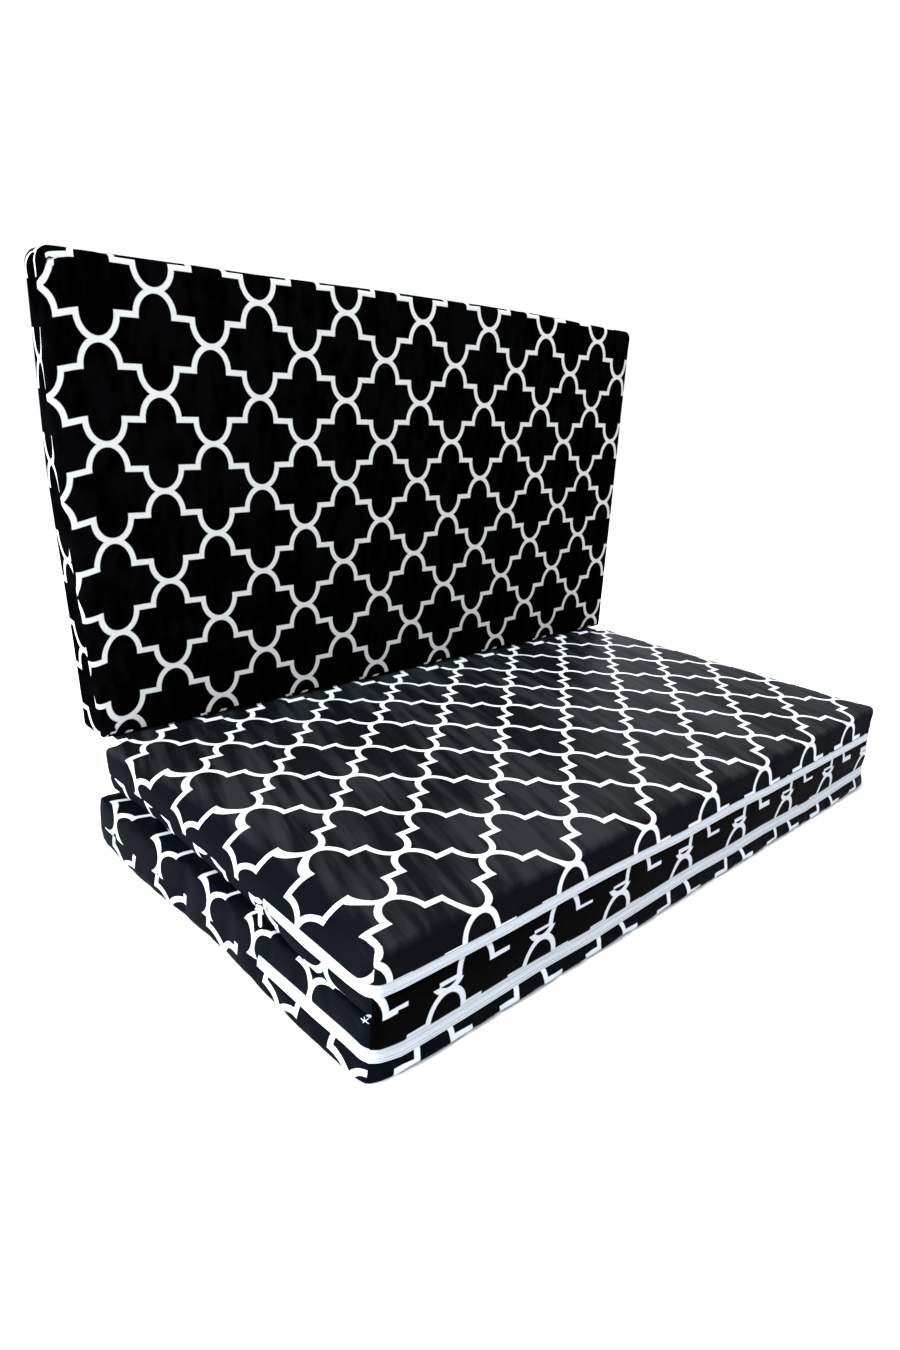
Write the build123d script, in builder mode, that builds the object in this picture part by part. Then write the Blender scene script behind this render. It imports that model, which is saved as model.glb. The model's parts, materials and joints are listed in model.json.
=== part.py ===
from build123d import *
from dataclasses import dataclass
from math import hypot, sqrt
import os

# Folding floor mattress: three equal foam panels in zipped cloth covers, joined by two cloth hinges.
# It is set up as a low sofa: base panel on the floor, seat panel on it, back panel upright.
# Millimetres, +Z up, the panels' long side along X, the back panel towards +Y.
# Origin: on the floor, in the middle of the space that the sofa takes up.

os.makedirs("parts", exist_ok=True)

# Panels
panel_length = 1200.0
panel_depth = 640.0
panel_thickness = 75.0
cloth_thickness = 1.0
foam_clearance = 0.3
edge_round = 16.0
corner_round = 20.0
face_crown = 4.0
crown_root = 6.0
crown_margin = 2.0
crown_end_share = 2.0
corner_draw_in = 20.0
draw_in_reach = 400.0
draw_in_round = 400.0

# How the panels meet
stack_gap = 0.3
seam_gap = 0.4
hinge_slack = 20.0
fold_clearance = 0.3

# Zips
zip_side_reach = 210.0
zip_offset = 6.5
zip_window = 12.5
coil_width = 5.0
coil_depth = 1.8
tape_width = 11.0
tape_thickness = 0.8

# Sliders and pull tabs
slider_clearance = 0.4
slider_length = 12.0
slider_width = 9.0
slider_nose_width = 6.0
slider_plate = 1.2
slider_flange = 1.4
slider_end_margin = 2.0
bail_length = 8.0
bail_width = 1.2
bail_bar = 1.2
bail_post = 1.4
bail_round = 0.8
tab_clearance = 0.4
tab_thickness = 1.0
tab_reach = 18.0
tab_eye_wall = 1.3
tab_end_radius = 3.2
tab_end_hole_radius = 1.8

# Thread tacks at the ends of the front hinge
tack_length = 13.0
tack_thread = 1.6
tack_thickness = 0.8
tack_turn = 36.0

cut_over = 30.0

# Places that follow from the sizes
sofa_depth = panel_depth + hinge_slack + panel_thickness + face_crown
front_y = -sofa_depth / 2
seat_rear_y = front_y + panel_depth
back_front_y = seat_rear_y + hinge_slack
back_rear_y = back_front_y + panel_thickness
base_top_z = panel_thickness
seat_bottom_z = base_top_z + stack_gap
seat_top_z = seat_bottom_z + panel_thickness
zip_w = panel_thickness / 2 + zip_offset
seat_zip_z = seat_top_z - zip_w
base_zip_z = base_top_z - zip_w
back_zip_y = back_rear_y - zip_w
front_axis_y = front_y - fold_clearance / 2
front_axis_z = base_top_z + stack_gap / 2
back_axis_y = back_front_y - face_crown
back_axis_z = seat_top_z + face_crown + fold_clearance
half_window = zip_window / 2
foam_side_inset = cloth_thickness + tape_thickness + foam_clearance
foam_face_inset = cloth_thickness + foam_clearance
zip_end_v = panel_depth - zip_side_reach
slider_v = zip_end_v + slider_end_margin + slider_length / 2
slider_travel = zip_side_reach - corner_round - slider_length - 2 * slider_end_margin


@dataclass
class Panel:
    """One panel: x runs along the panel, y from its hinge edge to its zip edge, z through it."""

    name: str
    plane: Plane
    low_face_crowned: bool
    high_face_crowned: bool
    draw_in: float
    slider_side: int
    tab_hangs_along_zip: bool


facing_down = Vector(0, 0, -1)
facing_forward = Vector(0, -1, 0)
base_plane = Plane(origin=(0, seat_rear_y, base_top_z), x_dir=(1, 0, 0), z_dir=facing_down)
seat_plane = Plane(origin=(0, seat_rear_y, seat_top_z), x_dir=(1, 0, 0), z_dir=facing_down)
back_plane = Plane(origin=(0, back_rear_y, seat_top_z), x_dir=(1, 0, 0), z_dir=facing_forward)

base = Panel("base", base_plane, False, False, 0, 1, False)
seat = Panel("seat", seat_plane, True, False, corner_draw_in, -1, False)
back = Panel("back", back_plane, True, True, corner_draw_in, 1, True)


def finish(part, name):
    """Label one finished piece and write its file."""
    part.label = name
    export_step(part, f"parts/{name}.step")


# Forms that all three panels share


def panel_outline(panel, inset):
    """Plan outline of a panel, the left end of its hinge edge drawn in by the pull of the cover."""
    left = -panel_length / 2
    right = panel_length / 2
    corners = [(right, 0), (right, panel_depth), (left, panel_depth)]
    if panel.draw_in > 0:
        corners += [(left, draw_in_reach)]
    corners += [(left + panel.draw_in, 0)]
    with BuildSketch() as outline:
        with BuildLine():
            Polyline(*corners, close=True)
        make_face()
        if inset > 0:
            offset(amount=-inset, kind=Kind.INTERSECTION)
        rows = outline.vertices().group_by(Axis.Y)
        fillet(rows[0] + rows[-1], radius=corner_round - inset)
        if panel.draw_in > 0:
            bend = outline.vertices().sort_by_distance((left + inset, draw_in_reach))[0]
            fillet(bend, radius=draw_in_round)
    return outline.sketch


def crown_pad(panel, face, outward):
    """The crown of one face: a low ridge along the panel that runs out inside the rounded rim."""
    near = edge_round + crown_margin
    far = panel_depth - near
    left = -panel_length / 2 + near + panel.draw_in
    right = panel_length / 2 - near
    top = face + outward * face_crown
    root = face - outward * crown_root
    end_top = face + outward * crown_end_share * face_crown
    end_root = root - outward * crown_root
    across = Plane(origin=panel.plane.origin, x_dir=panel.plane.y_dir, z_dir=panel.plane.x_dir)
    along = Plane(origin=panel.plane.origin, x_dir=panel.plane.x_dir, z_dir=-panel.plane.y_dir)
    with BuildPart() as pad:
        with BuildSketch(across):
            with BuildLine():
                ThreePointArc((near, face), (panel_depth / 2, top), (far, face))
                Polyline((far, face), (far, root), (near, root), (near, face))
            make_face()
        extrude(amount=panel_length / 2, both=True)
        with BuildSketch(along):
            with BuildLine():
                ThreePointArc((left, face), ((left + right) / 2, end_top), (right, face))
                Polyline((right, face), (right, end_root), (left, end_root), (left, face))
            make_face()
        extrude(amount=panel_depth, both=True, mode=Mode.INTERSECT)
    return pad.part


def panel_block(panel, side_inset, face_inset):
    """A panel's full form with its rim rounded, set in from the cover's outside."""
    outline = panel_outline(panel, side_inset)
    with BuildPart() as block:
        with BuildSketch(panel.plane.offset(face_inset)):
            add(outline)
        extrude(amount=panel_thickness - 2 * face_inset)
        through = Axis(panel.plane.origin, panel.plane.z_dir)
        fillet(block.edges().filter_by(through, reverse=True), radius=edge_round - face_inset)
        if panel.low_face_crowned:
            add(crown_pad(panel, face_inset, -1))
        if panel.high_face_crowned:
            add(crown_pad(panel, panel_thickness - face_inset, 1))
    return block.part


def zip_reach(panel):
    """Plan of what lies on the zip's way: the zip edge and a stretch of both short sides."""
    side = panel_length / 2 + cut_over
    with BuildSketch() as reach:
        with BuildLine():
            Polyline(
                (-side, zip_end_v),
                (side, zip_end_v),
                (side, panel_depth + cut_over),
                (-side, panel_depth + cut_over),
                close=True,
            )
        make_face()
    return reach.sketch


def zip_strip(panel, outer_inset, depth, low, high):
    """A strip that follows the zip's way round the panel, between two heights through it."""
    outer = panel_outline(panel, outer_inset)
    inner = panel_outline(panel, outer_inset + depth)
    reach = zip_reach(panel)
    with BuildPart() as strip:
        with BuildSketch(panel.plane.offset(low)):
            add(outer)
            add(inner, mode=Mode.SUBTRACT)
            add(reach, mode=Mode.INTERSECT)
        extrude(amount=high - low)
    return strip.part


def cover_shell(panel, keep):
    """Half a cover: one face sheet and half the boxing, cut away where the zip shows."""
    with BuildPart() as shell:
        add(panel_block(panel, 0, 0))
        add(panel_block(panel, cloth_thickness, cloth_thickness), mode=Mode.SUBTRACT)
        split(bisect_by=panel.plane.offset(zip_w), keep=keep)
        with BuildSketch(panel.plane.offset(zip_w - half_window)):
            add(zip_reach(panel))
            add(panel_outline(panel, foam_side_inset), mode=Mode.SUBTRACT)
        extrude(amount=zip_window, mode=Mode.SUBTRACT)
    return shell.part


def open_boxing(panel, part, edge, low, high):
    """Cut the boxing away along one long edge, where a hinge cloth takes its place."""
    left = -panel_length / 2 + corner_round + (panel.draw_in if edge == "hinge" else 0)
    right = panel_length / 2 - corner_round
    depth = cloth_thickness + seam_gap
    v_low = -cut_over if edge == "hinge" else panel_depth - depth
    v_high = depth if edge == "hinge" else panel_depth + cut_over
    with BuildPart() as opened:
        add(part)
        with BuildSketch(panel.plane.offset(low)):
            with Locations(((left + right) / 2, (v_low + v_high) / 2)):
                Rectangle(right - left + 2 * seam_gap, v_high - v_low)
        extrude(amount=high - low, mode=Mode.SUBTRACT)
    return opened.part


# Foam cores


for panel in (base, seat, back):
    finish(panel_block(panel, foam_side_inset, foam_face_inset), f"{panel.name}_foam_core")


# Covers: each has two halves, named after the way they face

base_cover_top = open_boxing(base, cover_shell(base, Keep.BOTTOM), "zip", -cut_over, zip_w)
finish(base_cover_top, "base_cover_top")
finish(cover_shell(base, Keep.TOP), "base_cover_bottom")

seat_cover_top = open_boxing(seat, cover_shell(seat, Keep.BOTTOM), "hinge", -cut_over, zip_w)
finish(seat_cover_top, "seat_cover_top")
seat_cover_bottom = open_boxing(seat, cover_shell(seat, Keep.TOP), "zip", zip_w, panel_thickness + cut_over)
finish(seat_cover_bottom, "seat_cover_bottom")

finish(cover_shell(back, Keep.BOTTOM), "back_cover_rear")
back_cover_front = open_boxing(back, cover_shell(back, Keep.TOP), "hinge", zip_w, panel_thickness + cut_over)
finish(back_cover_front, "back_cover_front")


# Hinge cloths

front_cloth_low = base_zip_z + half_window
front_cloth_high = seat_zip_z - half_window
with BuildPart() as front_hinge_cloth:
    with BuildSketch(Plane.XZ.offset(-front_y)):
        with Locations((0, (front_cloth_low + front_cloth_high) / 2)):
            Rectangle(panel_length - 2 * corner_round, front_cloth_high - front_cloth_low)
    extrude(amount=-cloth_thickness)
finish(front_hinge_cloth.part, "front_hinge_cloth")

rear_cloth_left = -panel_length / 2 + corner_round + corner_draw_in
rear_cloth_right = panel_length / 2 - corner_round
with BuildPart() as rear_hinge_cloth:
    with BuildSketch(Plane.YZ.offset(rear_cloth_left)):
        with BuildLine():
            Polyline(
                (seat_rear_y - cloth_thickness, seat_zip_z),
                (seat_rear_y, seat_zip_z),
                (seat_rear_y, seat_top_z),
                (back_zip_y - seam_gap, seat_top_z),
                (back_zip_y - seam_gap, seat_top_z + cloth_thickness),
                (seat_rear_y - cloth_thickness, seat_top_z + cloth_thickness),
                close=True,
            )
        make_face()
    extrude(amount=rear_cloth_right - rear_cloth_left)
finish(rear_hinge_cloth.part, "rear_hinge_cloth")


# Zips: two tapes and two rows of coil on each panel

for panel in (base, seat, back):
    names = ("front", "rear") if panel is back else ("lower", "upper")
    coil_edge = coil_width / 2
    tape_edge = coil_edge + tape_width
    high_tape = zip_strip(
        panel, cloth_thickness, tape_thickness, zip_w + coil_edge, zip_w + tape_edge
    )
    low_tape = zip_strip(
        panel, cloth_thickness, tape_thickness, zip_w - tape_edge, zip_w - coil_edge
    )
    high_coil = zip_strip(panel, 0, coil_depth, zip_w, zip_w + coil_edge)
    low_coil = zip_strip(panel, 0, coil_depth, zip_w - coil_edge, zip_w)
    finish(high_tape, f"{panel.name}_zip_tape_{names[0]}")
    finish(low_tape, f"{panel.name}_zip_tape_{names[1]}")
    finish(high_coil, f"{panel.name}_zip_coil_{names[0]}")
    finish(low_coil, f"{panel.name}_zip_coil_{names[1]}")


# Sliders and pull tabs: a sliding body with an arched bail, and a tab whose eye hangs on one post

flange_low = cloth_thickness - slider_clearance
plate_low = slider_clearance
plate_high = plate_low + slider_plate
tab_low = plate_high + tab_clearance
tab_high = tab_low + tab_thickness
bail_low = tab_high + tab_clearance
bail_high = bail_low + bail_bar
post_place = (bail_length - bail_post) / 2
eye_radius = hypot(bail_post, bail_width) / 2 + tab_clearance


def slider_plane(panel):
    """Where the slider sits: x along the zip towards the zip edge, z out of the panel's side."""
    origin = panel.plane.from_local_coords(
        Vector(panel.slider_side * panel_length / 2, slider_v, zip_w)
    )
    return Plane(origin=origin, x_dir=panel.plane.y_dir, z_dir=panel.plane.x_dir * panel.slider_side)


for panel in (base, seat, back):
    place = slider_plane(panel)
    with BuildPart() as slider:
        with BuildSketch(place.offset(plate_low)):
            with BuildLine():
                Polyline(
                    (-slider_length / 2, -slider_nose_width / 2),
                    (0, -slider_width / 2),
                    (slider_length / 2, -slider_width / 2),
                    (slider_length / 2, slider_width / 2),
                    (0, slider_width / 2),
                    (-slider_length / 2, slider_nose_width / 2),
                    close=True,
                )
            make_face()
        extrude(amount=slider_plate)
        flange_place = coil_width / 2 + slider_clearance + slider_flange / 2
        with BuildSketch(place.offset(-flange_low)):
            with Locations((slider_length / 4, flange_place), (slider_length / 4, -flange_place)):
                Rectangle(slider_length / 2, slider_flange)
        extrude(amount=flange_low + plate_low)
        bail_plane = Plane(origin=place.origin, x_dir=place.x_dir, z_dir=-place.y_dir)
        with BuildSketch(bail_plane):
            with Locations((0, (plate_high + bail_high) / 2)):
                Rectangle(bail_length, bail_high - plate_high)
            with Locations((0, (plate_high + bail_low) / 2)):
                Rectangle(bail_length - 2 * bail_post, bail_low - plate_high, mode=Mode.SUBTRACT)
        extrude(amount=bail_width / 2, both=True)
        crown = slider.faces().sort_by(Axis(place.origin, place.z_dir))[-1]
        across = Axis(place.origin, place.y_dir)
        fillet(crown.edges().filter_by(across), radius=bail_round)
    finish(slider.part, f"{panel.name}_zip_slider")

    # The tab hangs from the front post down the panel's side, or from the lower post along the zip
    if panel.tab_hangs_along_zip:
        eye = (-post_place, 0)
        end = (-post_place - tab_reach, 0)
    else:
        down = 1 if place.y_dir.Z < 0 else -1
        eye = (post_place, 0)
        end = (post_place, down * tab_reach)
    with BuildPart() as tab:
        with BuildSketch(place.offset(tab_low)):
            with Locations(eye):
                Circle(eye_radius + tab_eye_wall)
            with Locations(end):
                Circle(tab_end_radius)
            make_hull()
            with Locations(eye):
                Circle(eye_radius, mode=Mode.SUBTRACT)
            with Locations(end):
                Circle(tab_end_hole_radius, mode=Mode.SUBTRACT)
        extrude(amount=tab_thickness)
    finish(tab.part, f"{panel.name}_pull_tab")
    pivot = place.from_local_coords(Vector(eye[0], eye[1], 0))
    print(f"{panel.name} tab pivot", round(pivot.X, 3), round(pivot.Y, 3), round(pivot.Z, 3))


# Thread tacks that tie the two covers together at both ends of the front hinge

# Each lies in the notch at a front corner, so far out that its ends rest on both rounded covers
arm = Vector(tack_length / 2, tack_thread / 2).rotate(Axis.Z, tack_turn)
notch_height = arm.Y - stack_gap / 2
notch_radius = corner_round - edge_round + sqrt(edge_round**2 - (edge_round - notch_height) ** 2)
tack_place = sqrt(notch_radius**2 - arm.X**2) + stack_gap
for name, side in (("left", -1), ("right", 1)):
    outward = Vector(side, -1, 0).normalized()
    corner = Vector(side * (panel_length / 2 - corner_round), front_y + corner_round, front_axis_z)
    tack_plane = Plane(
        origin=corner + outward * tack_place,
        x_dir=outward.cross(Vector(0, 0, 1)),
        z_dir=outward,
    )
    with BuildPart() as tack:
        with BuildSketch(tack_plane):
            Rectangle(tack_length, tack_thread, rotation=tack_turn)
            Rectangle(tack_length, tack_thread, rotation=-tack_turn)
        extrude(amount=tack_thickness)
    finish(tack.part, f"front_tack_{name}")

print("front fold axis y, z:", front_axis_y, front_axis_z)
print("back fold axis y, z:", back_axis_y, back_axis_z)
print("slider travel:", slider_travel)
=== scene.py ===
"""Looks of a folding floor mattress that is set up as a low sofa.

Three foam panels in zipped, printed covers: the base on the floor, the seat on it and the back upright.
Everything is in metres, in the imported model's frame: +X along the panels, +Y towards the back, +Z up.
"""

import json
import logging
import math
from dataclasses import dataclass
from enum import Enum
from typing import Union

import bmesh
import bpy
import numpy as np
from mathutils import Matrix, Vector, noise

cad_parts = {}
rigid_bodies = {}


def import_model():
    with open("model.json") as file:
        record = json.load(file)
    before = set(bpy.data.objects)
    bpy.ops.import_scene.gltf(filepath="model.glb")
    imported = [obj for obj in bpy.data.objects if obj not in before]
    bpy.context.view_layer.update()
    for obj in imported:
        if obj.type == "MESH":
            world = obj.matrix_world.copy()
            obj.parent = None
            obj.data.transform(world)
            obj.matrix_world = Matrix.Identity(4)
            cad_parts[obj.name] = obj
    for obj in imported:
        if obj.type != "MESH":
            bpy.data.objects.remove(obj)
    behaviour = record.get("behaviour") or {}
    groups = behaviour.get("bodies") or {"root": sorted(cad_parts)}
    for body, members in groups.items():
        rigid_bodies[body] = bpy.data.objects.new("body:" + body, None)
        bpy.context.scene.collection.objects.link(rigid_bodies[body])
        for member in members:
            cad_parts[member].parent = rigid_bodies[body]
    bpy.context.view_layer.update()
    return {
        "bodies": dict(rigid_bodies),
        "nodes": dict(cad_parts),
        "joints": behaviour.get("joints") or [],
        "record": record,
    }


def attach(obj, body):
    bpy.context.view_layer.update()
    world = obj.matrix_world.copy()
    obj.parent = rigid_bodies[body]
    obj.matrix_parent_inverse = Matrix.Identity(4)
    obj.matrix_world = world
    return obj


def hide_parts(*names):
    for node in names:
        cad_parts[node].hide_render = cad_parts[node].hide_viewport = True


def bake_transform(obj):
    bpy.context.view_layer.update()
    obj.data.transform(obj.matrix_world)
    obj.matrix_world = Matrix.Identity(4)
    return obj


LOG = logging.getLogger("mattress")

# Sizes that the pieces share; the rounds are tighter and the zip's window is wider than the part's
PANEL_LENGTH = 1.2
PANEL_DEPTH = 0.64
PANEL_THICKNESS = 0.075
HALF_LENGTH = PANEL_LENGTH / 2
HALF_DEPTH = PANEL_DEPTH / 2
CORNER_ROUND = 0.016
EDGE_ROUND = 0.010
FRONT_Y = -0.3695
SEAT_REAR_Y = FRONT_Y + PANEL_DEPTH
BACK_REAR_Y = 0.3655
BASE_TOP_Z = 0.075
SEAT_TOP_Z = 0.1503
ZIP_W = 0.044
ZIP_HALF_WINDOW = 0.0074
ZIP_END_V = PANEL_DEPTH - 0.21
STRIP_WALL = 0.0009

# How a panel's frame lies in the room: w runs down through base and seat, and forwards through the back
LYING = Matrix(((1, 0, 0), (0, -1, 0), (0, 0, -1))).to_4x4()
UPRIGHT = Matrix(((1, 0, 0), (0, 0, -1), (0, 1, 0))).to_4x4()

# A table of (place, value) pairs that moves nothing
LEVEL = ((0.0, 0.0), (PANEL_DEPTH, 0.0))

# The trellis, as printed on the unstretched cloth: its half periods and dome radius, and the line's width,
# wander, ragged edge and soft edge
TRELLIS_A = 0.0790
TRELLIS_B = 0.0660
DOME_RADIUS = 0.0266
LINE_WIDTH = 0.0080
LINE_SWAY = 0.0045
LINE_FUZZ = 0.0006
LINE_EDGE = 0.0009

# The swelling of the covers: cloth simulation frames
SWELL_FRAMES = 20


class Side(Enum):
    """The side of a panel that a stretch of its cover lies on."""

    ZIP_EDGE = "zip edge"
    HINGE_EDGE = "hinge edge"
    LEFT = "left"
    RIGHT = "right"


# Shader maths


class Signal:
    """A shader socket that takes part in Python sums."""

    def __init__(self, tree: bpy.types.NodeTree, socket: bpy.types.NodeSocket) -> None:
        """Wraps one output socket.

        Args:
            tree: the node tree that the socket is in.
            socket: the output socket.
        """
        self.tree = tree
        self.socket = socket

    def maths(self, operation: str, *others: "Number", clamp: bool = False) -> "Signal":
        """Adds one Math node.

        Args:
            operation: the Math node's operation.
            others: its other inputs, numbers or signals.
            clamp: whether the result is held between 0 and 1.

        Returns:
            The node's result.
        """
        return join_maths(self.tree, operation, (self, *others), clamp)

    def __add__(self, other: "Number") -> "Signal":
        """self + other"""
        return self.maths("ADD", other)

    def __radd__(self, other: "Number") -> "Signal":
        """other + self"""
        return join_maths(self.tree, "ADD", (other, self))

    def __sub__(self, other: "Number") -> "Signal":
        """self - other"""
        return self.maths("SUBTRACT", other)

    def __rsub__(self, other: "Number") -> "Signal":
        """other - self"""
        return join_maths(self.tree, "SUBTRACT", (other, self))

    def __mul__(self, other: "Number") -> "Signal":
        """self * other"""
        return self.maths("MULTIPLY", other)

    def __rmul__(self, other: "Number") -> "Signal":
        """other * self"""
        return join_maths(self.tree, "MULTIPLY", (other, self))

    def __truediv__(self, other: "Number") -> "Signal":
        """self / other"""
        return self.maths("DIVIDE", other)

    def __abs__(self) -> "Signal":
        """|self|"""
        return self.maths("ABSOLUTE")

    def clamped(self) -> "Signal":
        """Returns self, held between 0 and 1."""
        return self.maths("ADD", 0.0, clamp=True)

    def wave(self, period: float) -> "Signal":
        """Returns a sine wave over self, with the period given."""
        return (self * (math.tau / period)).maths("SINE")


Number = Union[float, Signal]


def join_maths(tree: bpy.types.NodeTree, operation: str, values: tuple, clamp: bool = False) -> Signal:
    """Adds a Math node to a tree.

    Args:
        tree: the node tree.
        operation: the Math node's operation.
        values: its inputs in order, numbers or signals.
        clamp: whether the result is held between 0 and 1.

    Returns:
        The node's result.
    """
    node = tree.nodes.new("ShaderNodeMath")
    node.operation = operation
    node.use_clamp = clamp
    for socket, value in zip(node.inputs, values):
        if isinstance(value, Signal):
            tree.links.new(value.socket, socket)
        else:
            socket.default_value = value
    return Signal(tree, node.outputs[0])


class Dye:
    """One material in the making: its node graph and its shader."""

    def __init__(self, name: str) -> None:
        """Starts an empty material.

        Args:
            name: the material's name.
        """
        self.material = bpy.data.materials.new(name)
        self.material.use_nodes = True
        self.tree = self.material.node_tree
        self.tree.nodes.clear()

    def node(self, kind: str, settings: dict, inputs: dict, output: Union[int, str] = 0) -> Signal:
        """Adds a node of any type.

        Args:
            kind: the node's type, without its ShaderNode prefix.
            settings: its properties, set first; "stops" are a ramp's (place, colour) pairs.
            inputs: values or signals by the sockets' names or numbers.
            output: the output wanted.

        Returns:
            That output.
        """
        node = self.tree.nodes.new("ShaderNode" + kind)
        for key, value in settings.items():
            if key == "stops":
                ramp = node.color_ramp
                while len(ramp.elements) < len(value):
                    ramp.elements.new(0.5)
                for element, (place, colour) in zip(ramp.elements, value):
                    element.position = place
                    element.color = (*colour, 1.0)
            else:
                setattr(node, key, value)
        for key, value in inputs.items():
            if isinstance(value, Signal):
                self.tree.links.new(value.socket, node.inputs[key])
            else:
                node.inputs[key].default_value = value
        return Signal(self.tree, node.outputs[output] if node.outputs else None)

    def split(self, place: Signal) -> list[Signal]:
        """Returns the three coordinates of a place."""
        first = self.node("SeparateXYZ", {}, {0: place})
        return [Signal(self.tree, socket) for socket in first.socket.node.outputs]

    def sheet_place(self) -> list[Signal]:
        """Returns the two coordinates on the cut cloth, in metres."""
        return self.split(self.node("UVMap", {"uv_map": "sheet"}, {}))[:2]

    def object_place(self, turn: float = 0.0, stretch: tuple = (1.0, 1.0, 1.0)) -> Signal:
        """Object coordinates, turned about the vertical and stretched.

        Args:
            turn: the turn in degrees.
            stretch: the scale along each axis after the turn.

        Returns:
            The coordinates.
        """
        place = self.node("TexCoord", {}, {}, "Object")
        turned = self.node(
            "Mapping", {"vector_type": "POINT"}, {0: place, "Rotation": (0.0, 0.0, math.radians(turn))}
        )
        return self.node("VectorMath", {"operation": "MULTIPLY"}, {0: turned, 1: stretch})

    def grain(self, scale: float, detail: float = 2.0, where: Signal = None) -> Signal:
        """Noise between 0 and 1.

        Args:
            scale: cells per metre.
            detail: octaves of finer noise.
            where: the coordinates, else Object coordinates.

        Returns:
            The noise.
        """
        place = where or self.object_place()
        return self.node("TexNoise", {}, {"Vector": place, "Scale": scale, "Detail": detail})

    def blend(self, share: Number, first: Union[tuple, Signal], second: Union[tuple, Signal]) -> Signal:
        """Mixes two colours.

        Args:
            share: the second colour's share.
            first: a colour or signal.
            second: a colour or signal.

        Returns:
            The mixed colour.
        """
        first = (*first, 1.0) if isinstance(first, tuple) else first
        second = (*second, 1.0) if isinstance(second, tuple) else second
        return self.node("Mix", {"data_type": "RGBA"}, {0: share, 6: first, 7: second}, 2)

    def finish(self, colour: Signal, roughness: Number, bumps: list, constants: dict) -> bpy.types.Material:
        """Closes the graph with its shader.

        Args:
            colour: the base colour.
            roughness: the roughness.
            bumps: (height, distance in metres, strength) of each relief, coarse to fine.
            constants: fixed values by the shader's socket names.

        Returns:
            The finished material.
        """
        normal = None
        for height, distance, strength in bumps:
            inputs = {"Height": height, "Distance": distance, "Strength": strength}
            if normal is not None:
                inputs["Normal"] = normal
            normal = self.node("Bump", {}, inputs)
        inputs = {"Base Color": colour, "Roughness": roughness, **constants}
        if normal is not None:
            inputs["Normal"] = normal
        shader = self.node("BsdfPrincipled", {}, inputs)
        self.node("OutputMaterial", {}, {"Surface": shader})
        return self.material


# Finishes


@dataclass(frozen=True)
class TrellisCloth:
    """Plain-weave polyester, blue-black with the white trellis printed on it."""

    name: str
    ground: tuple
    print_white: tuple
    gloss: float
    ground_roughness: float = 0.48
    yarn_pitch: float = 0.0011
    crease_turn: float = 35.0
    crease_depth: float = 0.0022
    # Painted sheen: this lighter colour is mixed into the ground in streaks along the creases, above the
    # height in the next field
    sheen_streak: tuple = (0.0019, 0.0023, 0.0040)
    sheen_streak_above: float = -1.0
    front_dullness: float = 0.0

    @staticmethod
    def trellis(dye: Dye, place: list[Signal]) -> Signal:
        """The printed line: domes and bowls that meet at the nodes, joined by short square steps.

        Args:
            dye: the material in the making.
            place: the coordinates on the cloth.

        Returns:
            1 on the line and 0 off it.
        """
        across = (place[0] + (dye.grain(7.0, 1.0) - 0.5) * LINE_SWAY).maths("PINGPONG", TRELLIS_A)
        along = (place[1] + (dye.grain(9.0, 1.0) - 0.5) * LINE_SWAY).maths("PINGPONG", TRELLIS_B)
        upper = along.maths("GREATER_THAN", TRELLIS_B / 2)
        x = across + upper * (TRELLIS_A - 2 * across)
        y = along + upper * (TRELLIS_B - 2 * along)
        rise = y - TRELLIS_B / 2
        p = x / DOME_RADIUS
        q = rise / (TRELLIS_B / 2)
        reach = (p * p + q * q).maths("SQRT")
        p2 = p / DOME_RADIUS
        q2 = q / (TRELLIS_B / 2)
        slope = (p2 * p2 + q2 * q2).maths("SQRT").maths("MAXIMUM", 1e-4)
        dome = abs((reach - 1.0) * reach / slope)
        step = (0.0 - rise).maths("MAXIMUM", DOME_RADIUS - x)
        step = step.maths("MAXIMUM", x - (TRELLIS_A - DOME_RADIUS))
        fuzz = dye.grain(420.0, 2.0) * LINE_FUZZ
        gap = LINE_WIDTH / 2 - dome.maths("MINIMUM", step) - fuzz + LINE_FUZZ / 2
        return (gap / LINE_EDGE + 0.5).clamped()

    def material(self) -> bpy.types.Material:
        """Returns the material."""
        dye = Dye(self.name)
        place = dye.sheet_place()
        line = self.trellis(dye, place)
        weave = place[0].wave(self.yarn_pitch) * place[1].wave(self.yarn_pitch)
        slub = dye.grain(160.0, 3.0, dye.object_place(0.0, (1.0, 6.0, 6.0)))
        crease_place = dye.object_place(self.crease_turn, (2.2, 20.0, 9.0))
        crease = dye.grain(1.0, 2.0, crease_place)
        fine_crease = dye.grain(3.1, 2.0, crease_place)
        patches = dye.grain(5.0, 2.0)
        height = dye.split(dye.object_place())[2]
        # The sheen is painted only above that height; below it the cloth is made rougher instead
        sheen_zone = ((height - self.sheen_streak_above) / 0.008).clamped()
        # Painted sheen along the creases and patches, with the yarn's real slub tone mixed in
        crease_sheen = (crease * 3.0 + fine_crease * 3.6 + patches * 2.6 - 4.25).clamped()
        sheen_and_slub = (crease_sheen * 0.8 + slub * 0.3 - 0.08).clamped() * sheen_zone
        ground = dye.blend(sheen_and_slub, self.ground, self.sheen_streak)
        faded = tuple(0.88 * c for c in self.print_white)
        white = dye.blend((patches * 0.6 + slub * 0.4).clamped(), self.print_white, faded)
        colour = dye.blend(line, ground, white)
        roughness = self.ground_roughness + (patches - 0.5) * 0.16 + line * 0.12 + weave * 0.03
        roughness = roughness + (1.0 - sheen_zone) * self.front_dullness
        bumps = [
            (crease, self.crease_depth, 0.55),
            (fine_crease, self.crease_depth * 0.35, 0.5),
            (weave + slub * 1.5, 0.00012, 0.35),
        ]
        return dye.finish(colour, roughness, bumps, {"Specular IOR Level": self.gloss})


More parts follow.
